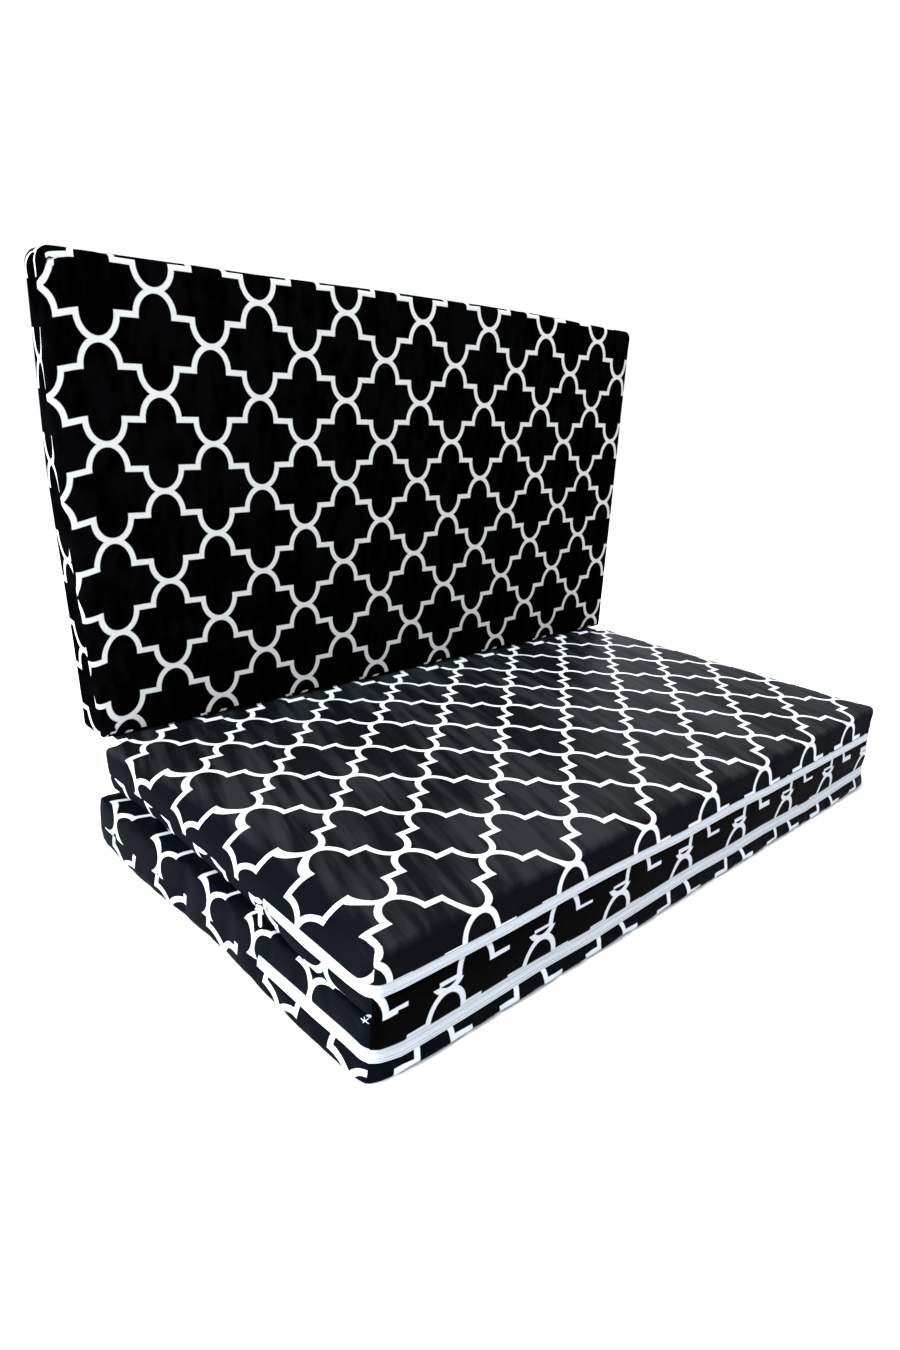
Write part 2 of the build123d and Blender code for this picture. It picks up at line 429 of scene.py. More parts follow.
@dataclass(frozen=True)
class WovenTape:
    """The zip's woven tape, bluish white, with its lengthwise ribs and sewing line."""

    name: str = "zip_tape_white"
    white: tuple = (0.53, 0.55, 0.585)
    shade_and_soil_tone: tuple = (0.24, 0.26, 0.31)
    rib_pitch: float = 0.0031
    pick_pitch: float = 0.0009
    stitch_pitch: float = 0.0032
    seam_off_middle: float = 0.0051

    def material(self) -> bpy.types.Material:
        """Returns the material."""
        dye = Dye(self.name)
        along, across = dye.sheet_place()
        rib = across.wave(self.rib_pitch)
        pick = along.wave(self.pick_pitch)
        stitch = (along.wave(self.stitch_pitch) * 1.5).clamped()
        lane = 1.0 - (abs(abs(across) - self.seam_off_middle) / 0.0005).maths("MINIMUM", 1.0)
        soil = dye.grain(22.0, 3.0)
        # Painted shade in the grooves between the ribs, the darker sewing line and real soil, all in one
        # mask
        shade_and_soil = (lane * stitch * 0.6 + (1.0 - rib) * 0.26 + soil * 0.25).clamped()
        colour = dye.blend(shade_and_soil, self.white, self.shade_and_soil_tone)
        bumps = [(rib * 0.7 + pick * 0.3, 0.00025, 0.5), (lane * stitch, 0.0004, 0.6)]
        constants = {"Sheen Weight": 0.1, "Specular IOR Level": 0.35}
        return dye.finish(colour, 0.62 + soil * 0.14, bumps, constants)


@dataclass(frozen=True)
class NylonCoil:
    """The zip's coil: glossy white turns, a little darker between them from painted shade."""

    name: str = "zip_coil_white"
    white: tuple = (0.62, 0.65, 0.71)
    shade_and_soil_tone: tuple = (0.32, 0.35, 0.40)
    pitch: float = 0.0017

    def material(self) -> bpy.types.Material:
        """Returns the material."""
        dye = Dye(self.name)
        along, across = dye.sheet_place()
        turn = (along + abs(across) * 0.35).wave(self.pitch) * 0.5 + 0.5
        soil = dye.grain(30.0, 2.0)
        # Painted shade between the coil's turns, with real soil
        shade_and_soil = ((1.0 - turn) * 0.38 + soil * 0.15).clamped()
        colour = dye.blend(shade_and_soil, self.white, self.shade_and_soil_tone)
        return dye.finish(colour, 0.34 + soil * 0.12, [(turn, 0.0005, 0.8)], {"Specular IOR Level": 0.5})


@dataclass(frozen=True)
class LacqueredZinc:
    """The sliders' and tabs' white lacquer, thin and worn to bare zinc in small spots."""

    name: str = "white_lacquer"
    white: tuple = (0.84, 0.85, 0.87)
    soiled: tuple = (0.60, 0.62, 0.66)
    zinc: tuple = (0.42, 0.43, 0.45)

    def material(self) -> bpy.types.Material:
        """Returns the material."""
        dye = Dye(self.name)
        chips = (dye.grain(900.0, 3.0) * 14.0 - 9.4).clamped()
        peel = dye.grain(1400.0, 1.0)
        soil = dye.grain(240.0, 2.0)
        white = dye.blend(soil * 0.35, self.white, self.soiled)
        colour = dye.blend(chips, white, self.zinc)
        roughness = 0.26 + soil * 0.16 + chips * 0.12
        bumps = [(peel, 0.00008, 0.3), (1.0 - chips, 0.00006, 0.5)]
        constants = {"Metallic": chips * 0.8, "Coat Weight": 0.25, "Coat Roughness": 0.2}
        return dye.finish(colour, roughness, bumps, constants)


@dataclass(frozen=True)
class SewingThread:
    """Twisted polyester thread."""

    name: str
    tone: tuple = (0.82, 0.83, 0.84)
    twist_pitch: float = 0.0009

    def material(self) -> bpy.types.Material:
        """Returns the material."""
        dye = Dye(self.name)
        along, _, up = dye.split(dye.object_place())
        twist = (along + up).wave(self.twist_pitch) * 0.5 + 0.5
        fuzz = dye.grain(700.0, 2.0)
        # Painted shade in the twist's grooves, with the fuzz's random tone
        dark = tuple(0.55 * c for c in self.tone)
        colour = dye.blend((twist * 0.4 + fuzz * 0.3).clamped(), self.tone, dark)
        return dye.finish(colour, 0.55 + fuzz * 0.2, [(twist, 0.0002, 0.6)], {"Sheen Weight": 0.2})


@dataclass(frozen=True)
class StudioFloor:
    """The pale paper that the mattress stands on."""

    name: str = "studio_floor"
    white: tuple = (0.97, 0.97, 0.97)
    grey: tuple = (0.95, 0.95, 0.955)

    def material(self) -> bpy.types.Material:
        """Returns the material."""
        dye = Dye(self.name)
        colour = dye.blend(dye.grain(3.0) * 0.4, self.white, self.grey)
        return dye.finish(colour, 0.9, [], {"Specular IOR Level": 0.1})


# Mesh helpers


def smooth(value: np.ndarray) -> np.ndarray:
    """Eases numbers between 0 and 1, and holds the others there."""
    held = np.clip(value, 0.0, 1.0)
    return held * held * (3.0 - 2.0 * held)


def from_table(table: tuple, where: np.ndarray) -> np.ndarray:
    """Reads a table of (place, value) pairs, straight between its rows."""
    places, values = zip(*table)
    return np.interp(where, places, values)


def read_points(bm: bmesh.types.BMesh) -> np.ndarray:
    """Returns the points of a bmesh as rows."""
    return np.array([vert.co for vert in bm.verts])


def write_points(bm: bmesh.types.BMesh, points: np.ndarray) -> None:
    """Moves the points of a bmesh.

    Args:
        bm: the mesh.
        points: a row for each vertex, in order.
    """
    for vert, point in zip(bm.verts, points):
        vert.co = point


def read_rows(mesh: bpy.types.Mesh, what: str = "co") -> np.ndarray:
    """Reads a mesh's vertices.

    Args:
        mesh: the mesh.
        what: "co" for their places, "normal" for their normals.

    Returns:
        A row for each vertex.
    """
    rows = np.empty(len(mesh.vertices) * 3)
    mesh.vertices.foreach_get(what, rows)
    return rows.reshape(-1, 3)


def write_rows(mesh: bpy.types.Mesh, rows: np.ndarray) -> None:
    """Moves a mesh's vertices to the places given."""
    mesh.vertices.foreach_set("co", rows.reshape(-1))
    mesh.update()


def lay_sheet(bm: bmesh.types.BMesh, places: dict) -> None:
    """Gives each corner of each face its place on the flat cut.

    Args:
        bm: the mesh.
        places: the two coordinates on the cut, by vertex.
    """
    layer = bm.loops.layers.uv.new("sheet")
    for face in bm.faces:
        for loop in face.loops:
            loop[layer].uv = places[loop.vert]


def make_piece(name: str, bm: bmesh.types.BMesh, material: bpy.types.Material) -> bpy.types.Object:
    """Makes an object of a bmesh and frees the bmesh.

    Args:
        name: the object's name.
        bm: the mesh, in place.
        material: its finish.

    Returns:
        The object, at the origin, shaded smooth.
    """
    mesh = bpy.data.meshes.new(name)
    bm.to_mesh(mesh)
    bm.free()
    mesh.materials.append(material)
    mesh.shade_smooth()
    piece = bpy.data.objects.new(name, mesh)
    bpy.context.collection.objects.link(piece)
    return piece


def apply_modifiers(piece: bpy.types.Object) -> None:
    """Takes the modifiers' result as the object's own mesh."""
    graph = bpy.context.evaluated_depsgraph_get()
    graph.update()
    mesh = bpy.data.meshes.new_from_object(piece.evaluated_get(graph), depsgraph=graph)
    piece.modifiers.clear()
    piece.data = mesh


def thicken(piece: bpy.types.Object, offset: float) -> None:
    """Gives a strip of cloth its thickness, inwards (-1) or outwards (1)."""
    wall = piece.modifiers.new("wall", "SOLIDIFY")
    wall.thickness = STRIP_WALL
    wall.offset = offset
    apply_modifiers(piece)


@dataclass
class Trellis:
    """Where the print's nodes lie on one cut of cloth."""

    node_x: float
    node_v: float
    half_x: float
    half_v: float
    slip: float = 0.0
    slip_from: float = 0.60
    slip_run: float = 0.04

    def sheet(self, x: float, v: float) -> tuple[float, float]:
        """Turns a place on the flattened cover into metres from a node on the unstretched cloth.

        Args:
            x: the place along the panel.
            v: the place across it.

        Returns:
            The two coordinates on the cloth.
        """
        if self.slip:
            held = min(max((v - self.slip_from) / self.slip_run, 0.0), 1.0)
            v -= self.slip * held * held * (3 - 2 * held)
        return (x - self.node_x) * TRELLIS_A / self.half_x, (v - self.node_v) * TRELLIS_B / self.half_v


# Sub-assemblies


@dataclass
class Panel:
    """One panel's cushion.

    In its own frame, x runs along it, v from the hinge edge to the zip edge and w through it, from its near
    face: the upper one of base and seat, the rear one of the back. Left and right are those of someone who
    looks at the front. Sizes are in metres; a square is the share by which a rounded rim or corner is filled
    out. An out, rise or slip table has the place along its edge and the size there.
    """

    name: str
    body: str
    place: Matrix
    cloth: TrellisCloth
    near_print: Trellis
    far_print: Trellis
    zip_rise: tuple
    cover_nodes: tuple
    near_crown: float = 0.0
    far_crown: float = 0.0
    draw_in: float = 0.0
    draw_in_reach: float = 0.4
    side_belly: float = 0.0015
    side_pull: float = 0.002
    left_lean: float = 0.0
    left_drop: float = 0.0
    left_out: tuple = LEVEL
    left_round: float = 0.0
    right_out: tuple = LEVEL
    near_square: float = 0.0
    far_square: float = 0.0
    hinge_corner_square: float = 0.0
    foot_corner_square: float = 0.0
    hinge_square: float = 0.0
    hinge_recess: float = 0.0
    front_recess: tuple = (0.0, 0.0)
    foot_bow: float = 0.0
    zip_edge_out: tuple = LEVEL
    zip_on_left: bool = True
    near_left_slip: tuple = LEVEL
    far_left_slip: tuple = LEVEL
    wrinkle: float = 0.0008
    wrinkle_turn: float = 35.0
    near_rests: bool = False
    far_rests: bool = True
    fill: float = 0.85
    cover_swell: float = 0.003
    columns: int = 115
    rows: int = 59
    groove: float = 0.0016
    strip_recess: float = 0.0014
    hinge_chamfer: float = 0.0045

    def plain_block(self) -> bmesh.types.BMesh:
        """The panel as cut foam: rounded uprights and rims, in a grid fine enough to bend.

        Returns:
            The block as a bmesh.
        """
        bm = bmesh.new()
        bmesh.ops.create_cube(bm, size=1.0)
        bmesh.ops.scale(bm, vec=(PANEL_LENGTH, PANEL_DEPTH, PANEL_THICKNESS), verts=bm.verts)
        bmesh.ops.translate(bm, vec=(0, HALF_DEPTH, PANEL_THICKNESS / 2), verts=bm.verts)
        uprights = [e for e in bm.edges if abs(e.verts[0].co.z - e.verts[1].co.z) > 0.01]
        bmesh.ops.bevel(
            bm, geom=uprights, offset=CORNER_ROUND, offset_type="OFFSET", segments=6,
            profile=0.5, affect="EDGES", material=-1,
        )
        caps = [f for f in bm.faces if abs(f.normal.z) > 0.9]
        rims = list(dict.fromkeys(e for f in caps for e in f.edges))
        bmesh.ops.bevel(
            bm, geom=rims, offset=EDGE_ROUND, offset_type="OFFSET", segments=5,
            profile=0.5, affect="EDGES", material=-1,
        )
        low, high = ZIP_W - ZIP_HALF_WINDOW, ZIP_W + ZIP_HALF_WINDOW
        lip, inset = 0.0012, 0.02
        levels = (0.0160, 0.0225, 0.030, low - lip, low, ZIP_W, high, high + lip, 0.0585)
        cuts = [((x, 0, 0), (1, 0, 0)) for x in (inset - HALF_LENGTH, HALF_LENGTH - inset)]
        cuts += [((0, v, 0), (0, 1, 0)) for v in (inset, PANEL_DEPTH - inset)]
        cuts += [((0, 0, w), (0, 0, 1)) for w in levels]
        for place, direction in cuts:
            whole = bm.verts[:] + bm.edges[:] + bm.faces[:]
            bmesh.ops.bisect_plane(bm, geom=whole, dist=1e-6, plane_co=place, plane_no=direction)
        lengthwise = [e for e in bm.edges if abs(e.verts[0].co.x - e.verts[1].co.x) > 1.0]
        bmesh.ops.subdivide_edges(bm, edges=lengthwise, cuts=self.columns, use_grid_fill=True)
        crosswise = [e for e in bm.edges if abs(e.verts[0].co.y - e.verts[1].co.y) > 0.5]
        bmesh.ops.subdivide_edges(bm, edges=crosswise, cuts=self.rows, use_grid_fill=True)
        bm.normal_update()
        return bm

    def zip_shift(self, points: np.ndarray) -> np.ndarray:
        """How far the zip's line wanders through the panel at each point, fading out at the rims.

        Args:
            points: points in the panel's frame.

        Returns:
            The change of w at each point.
        """
        x, v, w = points.T
        at_edge = v > PANEL_DEPTH - CORNER_ROUND
        on_side = np.sign(x) * (HALF_LENGTH + PANEL_DEPTH - v)
        run = np.where(at_edge, np.clip(x, -HALF_LENGTH, HALF_LENGTH), on_side)
        turn_from, turn_to = 0.58, 0.62
        turned = np.sign(x) * np.clip(np.abs(x) + (PANEL_DEPTH - v) * 0.5, turn_from, turn_to)
        run = np.where(at_edge & (np.abs(x) > turn_from), turned, run)
        fade = 1.0 - np.abs(w - ZIP_W) / np.where(w < ZIP_W, ZIP_W, PANEL_THICKNESS - ZIP_W)
        near = smooth(fade * 1.7)
        out = smooth((np.maximum(np.abs(x) / HALF_LENGTH, np.abs(v / HALF_DEPTH - 1.0)) - 0.8) / 0.15)
        return -from_table(self.zip_rise, run) * near * out

    def sharpen(self, points: np.ndarray) -> np.ndarray:
        """Pulls the rounded rims and hinge corners out towards the sharp box that the cloth's seams make.

        Args:
            points: points in the panel's frame.

        Returns:
            The moved points.
        """
        moved = points.copy()
        x, v, w = points.T
        corner_x = np.abs(x) - (HALF_LENGTH - CORNER_ROUND)
        corner_v = np.abs(v - HALF_DEPTH) - (HALF_DEPTH - CORNER_ROUND)
        out = np.hypot(np.maximum(corner_x, 0), np.maximum(corner_v, 0))
        for square, depth, way in ((self.near_square, w, -1), (self.far_square, PANEL_THICKNESS - w, 1)):
            if not square:
                continue
            over = np.maximum(out - (CORNER_ROUND - EDGE_ROUND), 1e-7)
            under = np.maximum(EDGE_ROUND - depth, 1e-7)
            reach = np.hypot(over, under) / np.maximum(over, under)
            grow = 1 + (reach - 1) * square * ((over > 1e-6) & (under > 1e-6))
            wider = over * (grow - 1) / np.maximum(out, 1e-7)
            moved[:, 0] += np.sign(x) * np.maximum(corner_x, 0) * wider
            moved[:, 1] += np.sign(v - HALF_DEPTH) * np.maximum(corner_v, 0) * wider
            moved[:, 2] += way * under * (grow - 1)
        turned = (corner_x > 1e-6) & (corner_v > 1e-6)
        reach = np.hypot(corner_x, corner_v) / np.maximum(np.maximum(corner_x, corner_v), 1e-7)
        foot = self.foot_corner_square * np.clip(w / PANEL_THICKNESS, 0, 1) ** 3
        grow = np.where(turned, (reach - 1) * np.where(v < HALF_DEPTH, self.hinge_corner_square, foot), 0.0)
        moved[:, 0] += np.sign(x) * corner_x * grow
        moved[:, 1] += np.sign(v - HALF_DEPTH) * corner_v * grow
        return moved

    @staticmethod
    def rim_bay(v: np.ndarray) -> np.ndarray:
        """How far a side's rim is rounded off between its corners, where the seams hold it sharp."""
        return smooth((v - 0.01) / 0.16) * smooth((PANEL_DEPTH - v) / 0.12 + 0.1)

    def swell_form(self, moved: np.ndarray, points: np.ndarray) -> None:
        """Crowns the faces and bellies the sides.

        Args:
            moved: the points so far, which are changed.
            points: the same points on the plain block.
        """
        x, v, w = points.T
        a = np.clip(np.abs(x) / HALF_LENGTH, 0, 1)
        b = np.clip(v / HALF_DEPTH - 1.0, -1, 1)
        through = np.clip(w / PANEL_THICKNESS, 0, 1)
        fill = (1 - a**4) * (1 - b**4)
        moved[:, 2] += (self.far_crown * through - self.near_crown * (1 - through)) * fill
        bulge = self.side_belly * np.sin(math.pi * through) - self.side_pull * (1 - through)
        moved[:, 1] += np.sign(b) * np.abs(b) ** 9 * bulge * (1 - a**4)
        moved[:, 0] += np.sign(x) * a**9 * bulge * (1 - b**4)

    def round_left_rim(self, moved: np.ndarray, points: np.ndarray) -> None:
        """Rounds the near left rim off between the corners.

        Args:
            moved: the points so far, which are changed.
            points: the same points on the plain block.
        """
        x, v, w = points.T
        across = np.clip(self.left_round - (x + HALF_LENGTH), 0, self.left_round)
        down = np.clip(self.left_round - w, 0, self.left_round)
        pull = 1 - self.left_round / np.maximum(np.hypot(across, down), self.left_round)
        pull *= self.rim_bay(v)
        moved[:, 0] += across * pull
        moved[:, 2] += down * pull

    def shift_sides(self, moved: np.ndarray, points: np.ndarray) -> None:
        """Leans, drops and pushes out the sides, the zip edge and its foot.

        Args:
            moved: the points so far, which are changed.
            points: the same points on the plain block.
        """
        x, v, w = points.T
        through = np.clip(w / PANEL_THICKNESS, 0, 1)
        at_zip = np.clip(v / HALF_DEPTH - 1.0, 0, 1) ** 9
        moved[:, 1] += from_table(self.zip_edge_out, x) * at_zip
        end_from, end_run = 0.40, 0.20
        left = smooth((-x - end_from) / end_run)
        right = smooth((x - end_from) / end_run)
        bay = smooth(v / 0.25) * smooth((PANEL_DEPTH - v) / 0.14 + 0.05)
        moved[:, 0] += self.left_lean * left**2 * (1 - through) ** 1.2 * bay
        moved[:, 0] -= from_table(self.left_out, v) * left**2 * through**2
        at_rims = np.abs(2 * through - 1) ** 3
        moved[:, 0] += from_table(self.right_out, v) * right**2 * at_rims
        moved[:, 2] += self.left_drop * smooth((-x - 0.5) / 0.10) ** 2 * (1 - through) * bay
        if self.draw_in:
            short = np.clip(1 - v / self.draw_in_reach, 0, 1)
            short = np.sqrt(short * short + 0.004) - 0.06
            moved[:, 0] += self.draw_in * short * smooth((0.1 - x) / 0.7)
        if self.foot_bow:
            foot = smooth((through - 0.35) / 0.65)
            moved[:, 1] += self.foot_bow * foot * at_zip * (1 - np.clip(np.abs(x) / HALF_LENGTH, 0, 1) ** 24)

    def settle(self, points: np.ndarray) -> np.ndarray:
        """Moves points of the plain block to where the filled cover has them.

        Args:
            points: points in the panel's frame.

        Returns:
            The moved points.
        """
        moved = self.sharpen(points)
        moved[:, 2] += self.zip_shift(points)
        self.swell_form(moved, points)
        if self.left_round:
            self.round_left_rim(moved, points)
        self.shift_sides(moved, points)
        return moved

    def trim(self, points: np.ndarray, plain: np.ndarray) -> np.ndarray:
        """Sets the cover back where the zip, the hinge cloths and the neighbours lie against it.

        Args:
            points: the settled points.
            plain: the same points on the plain block.

        Returns:
            The trimmed points.
        """
        moved = points.copy()
        x, v, w = plain.T
        window = np.abs(w - ZIP_W) < ZIP_HALF_WINDOW + 1e-4
        front = v > PANEL_DEPTH - 1e-4
        moved[window & front, 1] -= self.groove
        side = (np.abs(x) > HALF_LENGTH - 1e-4) & (v > ZIP_END_V - 0.001) & (self.zip_on_left | (x > 0))
        moved[window & side, 0] -= np.sign(x[window & side]) * self.groove
        corner_x, corner_v = HALF_LENGTH - CORNER_ROUND, PANEL_DEPTH - CORNER_ROUND
        turn = (np.abs(x) > corner_x) & (v > corner_v) & ~front & ~side & window
        for i in np.nonzero(turn)[0]:
            out = plain[i, :2] - np.array([math.copysign(corner_x, x[i]), corner_v])
            moved[i, :2] -= out / np.hypot(*out) * self.groove
        low, high = self.front_recess
        under = front & (w > low) & (w < high) & ~window
        moved[under, 1] -= self.strip_recess
        if self.hinge_square:
            ease = smooth(1 - v / 0.022) * smooth(1 - w / 0.022) * smooth((0.585 - np.abs(x)) / 0.02)
            for axis in (1, 2):
                moved[:, axis] -= self.hinge_square * self.hinge_chamfer * ease
        if self.hinge_recess:
            moved[:, 1] += self.hinge_recess * smooth(1 - v / 0.01)
        if self.near_rests:
            moved[:, 2] = np.maximum(moved[:, 2], 0.0)
        if self.far_rests:
            moved[:, 2] = np.minimum(moved[:, 2], PANEL_THICKNESS)
        return moved

    def side_of(self, point: Vector) -> Side:
        """Names the side that a point of the plain block faces, split at the uprights' middles.

        Args:
            point: a point in the panel's frame.

        Returns:
            The side.
        """
        beyond_x = abs(point.x) - (HALF_LENGTH - CORNER_ROUND)
        beyond_v = abs(point.y - HALF_DEPTH) - (HALF_DEPTH - CORNER_ROUND)
        if beyond_v >= beyond_x:
            return Side.ZIP_EDGE if point.y > HALF_DEPTH else Side.HINGE_EDGE
        return Side.LEFT if point.x < 0 else Side.RIGHT

    def flatten(self, point: Vector, side: Side, far: bool) -> tuple[float, float]:
        """Where a point of the cover lies on its flat cut: the face sheet with the boxing folded out.

        Args:
            point: the point on the plain block.
            side: the side that its face belongs to.
            far: whether the boxing goes with the far face's sheet.

        Returns:
            x and v on the flat cut.
        """
        w = PANEL_THICKNESS - point.z if far else point.z
        beyond_v = point.y - HALF_DEPTH
        corner_x = math.copysign(HALF_LENGTH - CORNER_ROUND, point.x)
        corner_v = HALF_DEPTH + math.copysign(HALF_DEPTH - CORNER_ROUND, beyond_v)
        off_x = max(abs(point.x) - abs(corner_x), 0.0)
        off_v = max(abs(beyond_v) - (HALF_DEPTH - CORNER_ROUND), 0.0)
        out = math.hypot(off_x, off_v)
        rim = CORNER_ROUND - EDGE_ROUND
        if out <= rim + 1e-5 and w < 1e-5:
            down = out
        elif w < EDGE_ROUND:
            down = rim + EDGE_ROUND * math.atan2(max(out - rim, 0.0), EDGE_ROUND - w)
        else:
            down = rim + EDGE_ROUND * math.pi / 2 + w - EDGE_ROUND
        if out < 1e-6:
            return point.x, point.y
        along_x = side in (Side.ZIP_EDGE, Side.HINGE_EDGE)
        turn = math.atan2(off_x, off_v) if along_x else math.atan2(off_v, off_x)
        round_arc = out * turn if off_x > 0 and off_v > 0 else 0.0
        if along_x:
            flat_x = point.x if not round_arc else corner_x + math.copysign(round_arc, point.x)
            return flat_x, corner_v + math.copysign(down, beyond_v)
        flat_v = point.y if not round_arc else corner_v + math.copysign(round_arc, beyond_v)
        return corner_x + math.copysign(down, point.x), flat_v

    def drift(self, plain: np.ndarray, far: bool) -> np.ndarray:
        """How far filling the panel has drawn its cover over the print's straight lines.

        Args:
            plain: the plain block's points.
            far: whether the far face's sheet is meant.

        Returns:
            The change of x and v at each point.
        """
        face = plain.copy()
        face[:, 2] = PANEL_THICKNESS if far else 0.0
        moved = (self.settle(face) - face)[:, :2]
        x, v = plain[:, 0], plain[:, 1]
        slip = from_table(self.far_left_slip if far else self.near_left_slip, v)
        moved[:, 1] += slip * smooth((-x - 0.545) / 0.055)
        if far:
            edge = np.clip(v / HALF_DEPTH - 1, 0, 1) ** 9
            moved[:, 1] -= 0.8 * self.foot_bow * edge * (1 - (np.abs(x) / HALF_LENGTH) ** 24)
        if self.left_round and not far:
            rim = smooth((-x - 0.55) / 0.03) * self.rim_bay(v)
            moved[:, 0] += (2 - math.pi / 2) * (self.left_round - EDGE_ROUND) * rim
        return moved

    def lay_print(self, bm: bmesh.types.BMesh, plain: np.ndarray) -> None:
        """Gives each face its place on the cut cloth.

        Args:
            bm: the plain block, with the zip's line already where it runs.
            plain: the plain block's points.
        """
        layer = bm.loops.layers.uv.new("sheet")
        drifts = {far: self.drift(plain, far) for far in (False, True)}
        bm.verts.index_update()
        for face in bm.faces:
            middle = face.calc_center_median()
            side = self.side_of(middle)
            split = ZIP_W
            if side is Side.HINGE_EDGE:
                split = PANEL_THICKNESS - 0.001
            elif side is Side.LEFT and not self.zip_on_left:
                split = PANEL_THICKNESS - EDGE_ROUND
            far = middle.z > split
            cut = self.far_print if far else self.near_print
            for loop in face.loops:
                x, v = self.flatten(loop.vert.co, side, far)
                along, across = drifts[far][loop.vert.index]
                loop[layer].uv = cut.sheet(x + float(along), v + float(across))

    def swell_cover(self, piece: bpy.types.Object, held: np.ndarray) -> None:
        """Lets the cover swell and crease over its foam as cloth, held along the zip.

        Args:
            piece: the cushion, in the panel's frame.
            held: how firmly each vertex is held, 0 to 1.
        """
        start = read_rows(piece.data)
        group = piece.vertex_groups.new(name="held")
        for index, weight in enumerate(held):
            if weight > 0:
                group.add([index], float(weight), "REPLACE")
        cloth = piece.modifiers.new("cover", "CLOTH")
        settings = cloth.settings
        settings.quality = 4
        settings.mass = 0.25
        settings.air_damping = 4.0
        settings.tension_stiffness = 25
        settings.compression_stiffness = 25
        settings.shear_stiffness = 8
        settings.bending_stiffness = 0.6
        settings.shrink_min = -0.012
        settings.use_pressure = True
        settings.uniform_pressure_force = 4.0
        settings.vertex_group_mass = "held"
        settings.effector_weights.gravity = 0.0
        cloth.collision_settings.use_collision = False
        scene = bpy.context.scene
        scene.frame_start, scene.frame_end = 1, SWELL_FRAMES
        cloth.point_cache.frame_start, cloth.point_cache.frame_end = 1, SWELL_FRAMES
        for frame in range(1, SWELL_FRAMES + 1):
            scene.frame_set(frame)
        apply_modifiers(piece)
        scene.frame_set(1)
        step = read_rows(piece.data) - start
        length = np.linalg.norm(step, axis=1, keepdims=True)
        allowed = self.cover_swell * np.tanh(length / self.cover_swell)
        step *= allowed / np.maximum(length, 1e-9)
        write_rows(piece.data, start + step)

    def crease(self, piece: bpy.types.Object, held: np.ndarray) -> None:
        """Adds the slack cover's low folds along one slant.

        Args:
            piece: the cushion, in the panel's frame.
            held: how firmly each vertex is held, 0 to 1.
        """
        piece.data.update()
        points = read_rows(piece.data)
        turn = np.array(Matrix.Rotation(math.radians(self.wrinkle_turn), 3, "Z"))
        slant_scale, slant_start = (3.0, 16.0, 14.0), (3.7, 1.9, 8.3)
        wide_scale, wide_start = 5.0, (9.1, 4.2, 0.6)
        slanted = points @ turn.T * slant_scale + slant_start
        wide = points * wide_scale + wide_start
        folds = np.array([noise.noise(a) + 0.8 * noise.noise(b) for a, b in zip(slanted, wide)])
        points += read_rows(piece.data, "normal") * (self.wrinkle * folds * (1 - held))[:, None]
        write_rows(piece.data, points)

    def held(self, plain: np.ndarray) -> np.ndarray:
        """How firmly the zip and the neighbours hold the cover.

        Args:
            plain: the plain block's points.

        Returns:
            0 to 1 for each point.
        """
        x, v, w = plain.T
        reach, side_x = 0.0095, 0.5795
        at_zip = (np.abs(w - ZIP_W) < reach) & (v > ZIP_END_V - 0.004)
        on_side = (v > PANEL_DEPTH - 1e-4) | (np.abs(x) > side_x)
        on_side &= self.zip_on_left | (x > -side_x)
        rests = (self.far_rests & (w > PANEL_THICKNESS - 1e-5)) | (self.near_rests & (w < 1e-5))
        return np.where((at_zip & on_side) | rests, 1.0, 0.0)

    def build(self) -> bpy.types.Object:
        """Builds the cushion.

        Returns:
            The cushion.
        """
        bm = self.plain_block()
        plain = read_points(bm)
        shifted = plain.copy()
        shifted[:, 2] += self.zip_shift(plain)
        write_points(bm, shifted)
        self.lay_print(bm, plain)
        write_points(bm, self.settle(plain))
        piece = make_piece(f"{self.name}_cushion", bm, self.cloth.material())
        held = self.held(plain)
        self.swell_cover(piece, held)
        self.crease(piece, held)
        write_rows(piece.data, self.trim(read_rows(piece.data), plain))
        rounder = piece.modifiers.new("rounder", "SUBSURF")
        rounder.levels = 1
        rounder.render_levels = 1
        rounder.uv_smooth = "PRESERVE_BOUNDARIES"
        apply_modifiers(piece)
        piece.data.transform(self.place)
        piece.data.update()
        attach(piece, self.body)
        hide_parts(*self.cover_nodes)
        LOG.info("%s: %d faces", piece.name, len(piece.data.polygons))
        return piece


